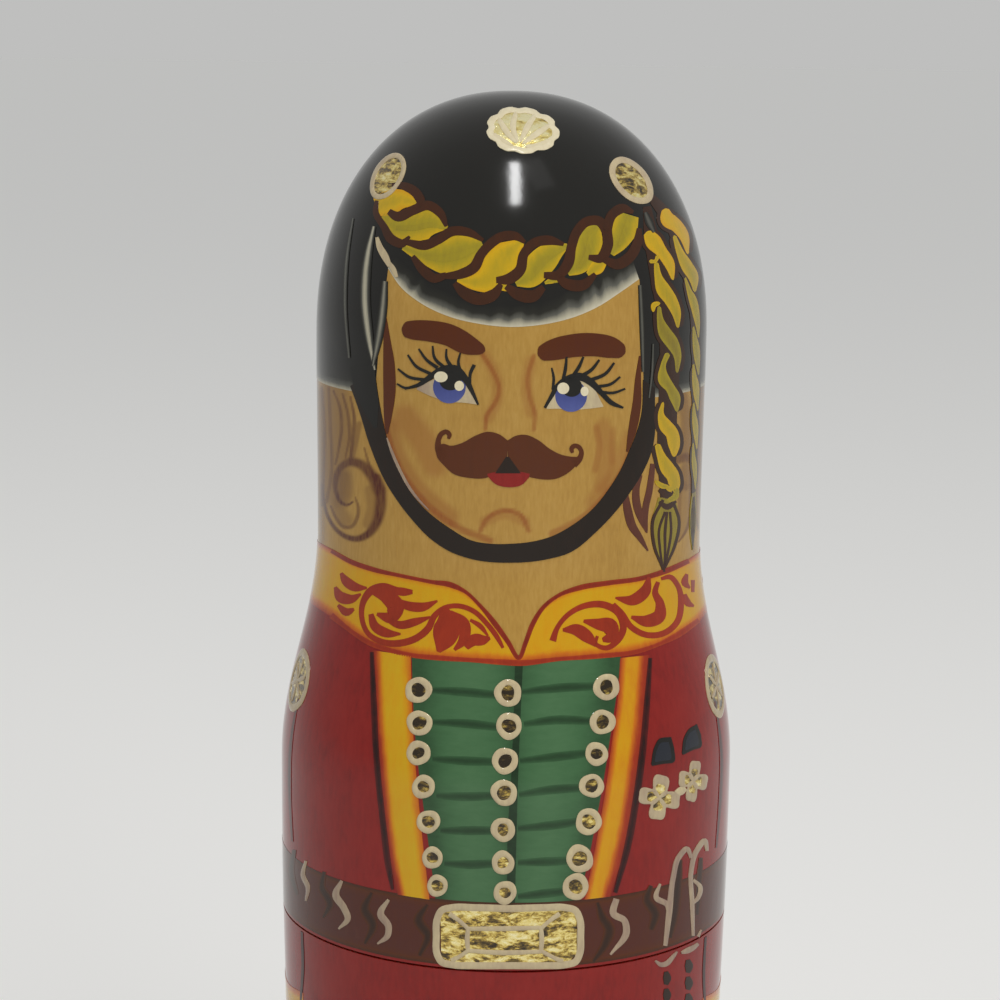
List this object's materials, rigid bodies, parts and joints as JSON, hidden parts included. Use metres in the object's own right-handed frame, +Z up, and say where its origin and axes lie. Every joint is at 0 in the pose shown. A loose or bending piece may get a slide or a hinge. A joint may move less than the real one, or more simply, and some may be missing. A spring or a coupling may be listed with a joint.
{
  "type": "matryoshka doll",
  "caption": "Slim turned wooden nesting doll painted as a moustached soldier in a peaked hat, red coat and brown belt. Its halves part at the waist over smaller dolls that stand inside.",
  "frame": {"origin": "middle of the flat base that the doll stands on", "axes": "+Z up along the turning axis, -Y out of the painted face, +X to the right as the face is seen"},
  "size_m": [0.0626, 0.0626, 0.18],
  "materials": {
    "red_lacquer": "gloss lacquer over red paint on linden",
    "bare_linden": "linden under clear gloss lacquer, plain inside",
    "black_paint": "gloss lacquer over black paint on linden",
    "yellow_paint": "gloss lacquer over yellow paint on linden",
    "green_paint": "gloss lacquer over green paint on linden",
    "brown_paint": "gloss lacquer over brown paint on linden",
    "cream_relief": "raised cream paste under gloss lacquer",
    "blue_paint": "gloss lacquer over blue paint on linden",
    "gold_leaf": "crinkled gold leaf under gloss lacquer"
  },
  "bodies": {
    "outer_bottom": {"outer_bottom_half": "red_lacquer"},
    "outer_top": {"outer_top_half": "red_lacquer"},
    "second_bottom": {"second_bottom_half": "red_lacquer"},
    "second_top": {"second_top_half": "red_lacquer"},
    "third_bottom": {"third_bottom_half": "red_lacquer"},
    "third_top": {"third_top_half": "red_lacquer"},
    "fourth_bottom": {"fourth_bottom_half": "red_lacquer"},
    "fourth_top": {"fourth_top_half": "red_lacquer"},
    "innermost": {"innermost_doll": "red_lacquer"}
  },
  "joints": [
    {"name": "outer_top_lift", "type": "slide", "parent": "outer_bottom", "child": "outer_top", "axis": [0, 0, 1], "range_m": [0, 0.495]},
    {"name": "second_bottom_lift", "type": "slide", "parent": "outer_bottom", "child": "second_bottom", "axis": [0, 0, 1], "range_m": [0, 0.0773]},
    {"name": "second_top_lift", "type": "slide", "parent": "second_bottom", "child": "second_top", "axis": [0, 0, 1], "range_m": [0, 0.3269]},
    {"name": "third_bottom_lift", "type": "slide", "parent": "second_bottom", "child": "third_bottom", "axis": [0, 0, 1], "range_m": [0, 0.0632]},
    {"name": "third_top_lift", "type": "slide", "parent": "third_bottom", "child": "third_top", "axis": [0, 0, 1], "range_m": [0, 0.1913]},
    {"name": "fourth_bottom_lift", "type": "slide", "parent": "third_bottom", "child": "fourth_bottom", "axis": [0, 0, 1], "range_m": [0, 0.0513]},
    {"name": "fourth_top_lift", "type": "slide", "parent": "fourth_bottom", "child": "fourth_top", "axis": [0, 0, 1], "range_m": [0, 0.0837]},
    {"name": "innermost_lift", "type": "slide", "parent": "fourth_bottom", "child": "innermost", "axis": [0, 0, 1], "range_m": [0, 0.0411]}
  ],
  "couplings": [
    {"joint": "second_bottom_lift", "follows": "outer_top_lift", "ratio": 0.15596},
    {"joint": "second_top_lift", "follows": "outer_top_lift", "ratio": 0.6602},
    {"joint": "third_bottom_lift", "follows": "outer_top_lift", "ratio": 0.12747},
    {"joint": "third_top_lift", "follows": "outer_top_lift", "ratio": 0.38626},
    {"joint": "fourth_bottom_lift", "follows": "outer_top_lift", "ratio": 0.10343},
    {"joint": "fourth_top_lift", "follows": "outer_top_lift", "ratio": 0.16889},
    {"joint": "innermost_lift", "follows": "outer_top_lift", "ratio": 0.08283}
  ]
}
